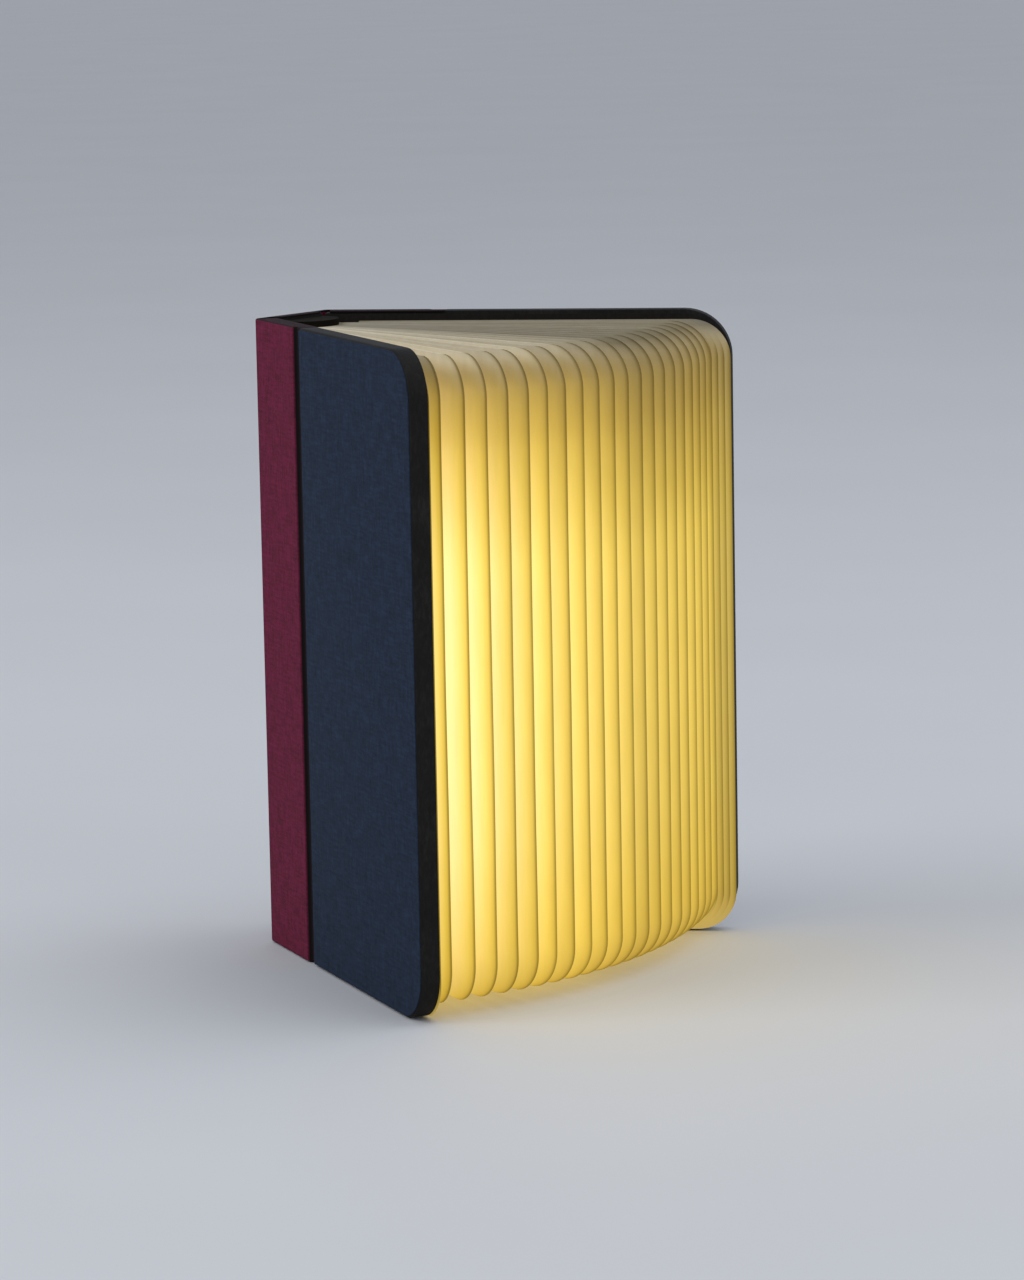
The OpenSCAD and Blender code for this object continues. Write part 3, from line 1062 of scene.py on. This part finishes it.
@dataclass
class PaperFan:
    """Fan of folded pleats that turn about their roots round the diffuser."""

    plane: HingedPlane = HingedPlane()
    count: int = 20
    span: float = 8.025 * MM
    centre: float = 4.0128 * MM
    radius: float = 9.5872 * MM
    fold_line: float = 104 * MM
    foot: float = 2 * MM
    head: float = 157.5 * MM
    corner: float = PAGE_CORNER
    half: float = 0.21 * MM
    paper: float = 0.1 * MM
    spread: float = 0.05 * MM
    spread_run: tuple[float, float] = (0.5 * MM, 20 * MM)
    sway: float = 0.05 * MM
    sway_run: tuple[float, float] = (10 * MM, 90 * MM)
    waves: tuple[float, float] = (7, 17)
    steps: tuple[float, ...] = (90, 70, 50, 35, 24, 16, 10, 6, 3.5, 2, 1.2, 0.8, 0.5)
    uneven: float = 0.08
    duller: tuple[tuple[int, float], ...] = ((1, 0.06), (9, 0.09), (12, 0.09))
    back_loss: float = 0.14
    back_pleats: tuple[int, int] = (5, 14)
    foot_loss: float = 0.13
    foot_run: tuple[float, float] = (8 * MM, 42 * MM)
    foot_pleats: tuple[int, int] = (1, 9)
    head_loss: float = 0.22
    head_run: tuple[float, float] = (100 * MM, 138 * MM)
    head_pleats: tuple[int, int] = (5, 15)
    seed: int = 7

    def shades(self) -> Grid:
        """How much light each pleat passes on: about 1, less towards the back cover."""
        random = np.random.default_rng(self.seed)
        shade = 1 + random.uniform(-self.uneven, self.uneven, self.count)
        for number, loss in self.duller:
            shade[number - 1] -= loss
        return shade * (1 - self.back_loss * ramp(np.arange(self.count), *self.back_pleats))

    def passed(self, number: int, shade: float, height: Grid) -> Grid:
        """Light that a pleat passes on at each height.

        Formula: the pleat's shade, less towards the foot beside the front cover and less
        towards the head beside the back cover.
        """
        near = 1 - ramp(np.float64(number), *self.foot_pleats)
        far = ramp(np.float64(number), *self.head_pleats)
        low = 1 - ramp(height, *self.foot_run)
        high = ramp(height, *self.head_run)
        return shade * (1 - self.foot_loss * near * low) * (1 - self.head_loss * far * high)

    def length_at(self, length: float, height: Grid) -> Grid:
        """Length of a pleat at each height: shorter by a quarter circle at its corners."""
        near = np.minimum(height - self.foot, self.head - height)
        short = np.clip(self.corner - near, 0, self.corner)
        return length - self.corner + np.sqrt(np.maximum(self.corner**2 - short**2, 0))

    def pleat(self, number: int, shade: float, random: np.random.Generator) -> Piece:
        """One pleat: two leaves that meet in a soft fold.

        Formula: at each height the section runs up the near leaf, round a half circle and
        back down the far leaf, and both leaves sway together by a slow wave that dies out at
        the root.

        Args:
            number: Number of the pleat, 1 beside the front cover.
            shade: How much light it passes on.
            random: Source of the waves' phases.

        Returns:
            The pleat, riding on its own body.
        """
        share = 1 - 2 * (number - 1) / (self.count - 1)
        root = np.array([self.span * share, 0.0])
        root[1] = self.centre + math.sqrt(self.radius**2 - root[0] ** 2)
        angle = self.plane.rest_open * share
        end_steps = (1 - np.cos(np.linspace(0, math.pi / 2, 12))) * self.corner
        middle = np.linspace(self.foot + self.corner, self.head - self.corner, 22)
        height = np.concatenate([self.foot + end_steps, middle[1:-1], self.head - end_steps[::-1]])
        length = self.length_at(self.fold_line - root[1], height)[:, None]
        deep = np.minimum(np.tile(np.array(self.steps) * MM, (len(height), 1)), length)
        depth = np.concatenate([length, deep], axis=1)
        bend = np.linspace(-math.pi / 2, math.pi / 2, 9)
        fold_x = self.half * np.sin(bend)
        fold_d = self.half * (1 - np.cos(bend))
        side = self.half + self.spread * ramp(depth, *self.spread_run)
        leaf_x = np.concatenate([-side, np.tile(fold_x, (len(height), 1)), side[:, ::-1]], axis=1)
        leaf_d = np.concatenate([depth, np.tile(fold_d, (len(height), 1)), depth[:, ::-1]], axis=1)
        phase = random.uniform(0, 2 * math.pi, 2)
        tall = (height[:, None] - self.foot) / (self.head - self.foot)
        slow, fast = (np.sin(wave * tall + at) for wave, at in zip(self.waves, phase))
        sway = self.sway * (slow + 0.6 * fast)
        run = length - leaf_d
        x = leaf_x + sway * ramp(run, *self.sway_run)
        cosine, sine = math.cos(angle), math.sin(angle)
        z = np.broadcast_to(height[:, None], x.shape)
        points = np.stack(
            [root[0] + x * cosine + run * sine, root[1] - x * sine + run * cosine, z], axis=-1
        )
        uv = np.stack([leaf_d / FOLD_UNIT, z / COVER_HEIGHT], axis=-1)
        piece = surface(f"paper_pleat_{number:02d}", points[::-1], uv[::-1])
        write_shade(piece.data, self.passed(number, shade, z[::-1]))
        thicken(piece, self.paper)
        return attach(piece, f"pleat_{number:02d}")

    def build(self, material: Material) -> None:
        """Builds and dresses every pleat."""
        random = np.random.default_rng(self.seed)
        for number, shade in enumerate(self.shades(), start=1):
            piece = self.pleat(number, float(shade), random)
            dress(piece, material)
            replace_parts(piece, f"pleat_{number:02d}")
        log.info("paper fan: %d pleats", self.count)


@dataclass
class Core:
    """Lit core in the spine: moulded housing and caps, diffuser, light strip and electronics."""

    edge: float = 0.3 * MM
    plastic: Colour = (0.0075, 0.0062, 0.0040)

    def build(self) -> None:
        """Rounds the mouldings that show and gives every carried-over node its finish."""
        dark = Moulding("dark_moulding", self.plastic, 0.85, specular=0.04).material()
        for node, name in (
            ("top_end_cap", "top_cap_moulding"),
            ("bottom_end_cap", "foot_cap_moulding"),
        ):
            cap = softened(node, name, self.edge)
            dress(cap, dark)
        dress(frame["nodes"]["core_housing"], dark)
        warm, nickel = (1.0, 0.78, 0.36), (0.62, 0.60, 0.56)
        finishes = {
            "spine_board": DyedBoard("spine_board_black"),
            "diffuser": Moulding("frosted_diffuser", (0.62, 0.55, 0.38), 0.6, warm, 0.8),
            "light_strip": Moulding("white_solder_mask", (0.72, 0.70, 0.63), 0.4),
            "leds": Moulding("diode_phosphor", (0.8, 0.62, 0.12), 0.25, (1.0, 0.82, 0.45), 1.0),
            "strip_screws": Metal("screw_steel", (0.55, 0.56, 0.58), 0.3),
            "battery": Metal("cell_foil", (0.50, 0.52, 0.55), 0.42),
            "battery_leads": Moulding("red_insulation", (0.42, 0.02, 0.018), 0.35),
            "strip_leads": Moulding("white_insulation", (0.62, 0.60, 0.52), 0.35),
            "charge_board": Moulding("green_solder_mask", (0.015, 0.11, 0.055), 0.3),
            "charge_inlet": Metal("inlet_steel", (0.60, 0.60, 0.62), 0.22),
            "charge_light": Moulding("light_pipe", (0.55, 0.75, 0.62), 0.15),
            "cover_switch": Moulding("switch_black", (0.02, 0.02, 0.023), 0.3),
            "front_magnets": Metal("magnet_nickel", nickel, 0.18),
            "back_magnets": Metal("magnet_nickel_back", nickel, 0.18),
            "trigger_magnet": Metal("magnet_nickel_small", nickel, 0.18),
        }
        for node, finish in finishes.items():
            dress(frame["nodes"][node], finish.material())
        log.info("core: caps rounded, %d carried-over nodes finished", len(finishes) + 1)


@dataclass(frozen=True)
class SoftLamp:
    """Square soft lamp aimed at the middle of the object."""

    name: str
    at: Place
    size: float
    power: float
    colour: Colour = WHITE
    target: Place = (0, 0.05, 0.08)

    def build(self) -> None:
        """Adds the lamp to the scene."""
        data = bpy.data.lights.new(self.name, "AREA")
        data.shape = "SQUARE"
        data.size = self.size
        data.energy = self.power
        data.color = self.colour
        lamp = add(self.name, data)
        lamp.location = self.at
        lamp.rotation_mode = "QUATERNION"
        aim = Vector(self.target) - Vector(self.at)
        lamp.rotation_quaternion = aim.to_track_quat("-Z", "Y")


@dataclass
class Studio:
    """Pale floor, soft lamps and the camera at the photograph's angle."""

    camera_at: Place = (0.91508, 0.77799, 0.26640)
    heading: tuple[float, float] = (-0.7906, -0.6124)
    pitch: float = math.radians(9.053)
    roll: float = math.radians(-1.052)
    lens: float = 133.30
    sensor: float = 36
    clip: tuple[float, float] = (0.05, 60)
    floor_half: float = 16.0
    floor_drop: float = 0.2 * MM
    sky: Colour = (0.93, 0.96, 1.0)
    sky_strength: float = 0.54
    backdrop: Colour = (0.62, 0.66, 0.74)
    lamps: tuple[SoftLamp, ...] = (
        SoftLamp("key_lamp", (1.35, -0.75, 1.25), 1.0, 11, (1.0, 0.98, 0.96)),
        SoftLamp("top_lamp", (-0.5, 0.6, 1.8), 1.2, 7, (0.95, 0.97, 1.0)),
        SoftLamp("fill_lamp", (0.3, 1.7, 0.7), 1.0, 3.5),
    )

    def floor(self) -> None:
        """Square floor about the lamp, just below its foot."""
        across = np.linspace(-self.floor_half, self.floor_half, 9)
        x, y = np.meshgrid(across, across)
        floor = surface("studio_floor", np.stack([x, y, np.zeros_like(x)], axis=-1))
        floor.location.z = -self.floor_drop
        dress(floor, StudioFloor().material())

    def world(self) -> None:
        """Even sky: soft light on the object, and a pale backdrop to camera and mirrors."""
        world = bpy.context.scene.world = bpy.data.worlds.new("studio")
        nodes = Nodes(world)
        soft, pale = (
            nodes.node("Background", {"Color": colour, "Strength": strength}).outputs[0]
            for colour, strength in ((self.sky, self.sky_strength), (self.backdrop, 1.0))
        )
        path = nodes.node("LightPath").outputs
        seen = path["Is Camera Ray"]
        for ray in ("Is Glossy Ray", "Is Transmission Ray"):
            seen = nodes.math("MAXIMUM", seen, path[ray])
        blend = nodes.node("MixShader", {"Fac": seen, 1: soft, 2: pale}).outputs[0]
        nodes.node("OutputWorld", {"Surface": blend})

    def camera(self) -> None:
        """Camera of the photograph: its place, heading, downward pitch and slight roll."""
        along = Vector((*self.heading, 0)).normalized() * math.cos(self.pitch)
        forward = along + Vector((0, 0, -math.sin(self.pitch)))
        right = forward.cross(Vector((0, 0, 1))).normalized()
        up = right.cross(forward)
        cosine, sine = math.cos(self.roll), math.sin(self.roll)
        level, upright = right * cosine + up * sine, up * cosine - right * sine
        data = bpy.data.cameras.new("photo_camera")
        data.sensor_fit = "VERTICAL"
        data.sensor_width = data.sensor_height = self.sensor
        data.lens = self.lens
        data.clip_start, data.clip_end = self.clip
        camera = add("photo_camera", data)
        axes = Matrix((level, upright, -forward)).transposed().to_4x4()
        camera.matrix_world = Matrix.Translation(self.camera_at) @ axes
        bpy.context.scene.camera = camera

    def build(self) -> None:
        """Sets up floor, lamps, sky, camera and the plain view transform."""
        bpy.context.scene.view_settings.view_transform = "Standard"
        self.floor()
        self.world()
        for lamp in self.lamps:
            lamp.build()
        self.camera()
        log.info("studio: floor, %d lamps and camera", len(self.lamps))


def main() -> None:
    """Builds the lamp's sub-assemblies, then the studio round them."""
    logging.basicConfig(level=logging.INFO, format="%(name)s: %(message)s")
    navy = BookCloth("navy_book_cloth", NAVY).material()
    paper = GlowPaper().material()
    for side in Side:
        Cover(side).build(paper, navy)
    SpineCloth().build(MAROON)
    PaperFan().build(paper)
    Core().build()
    Studio().build()
    bpy.context.view_layer.update()


if __name__ == "__main__":
    main()
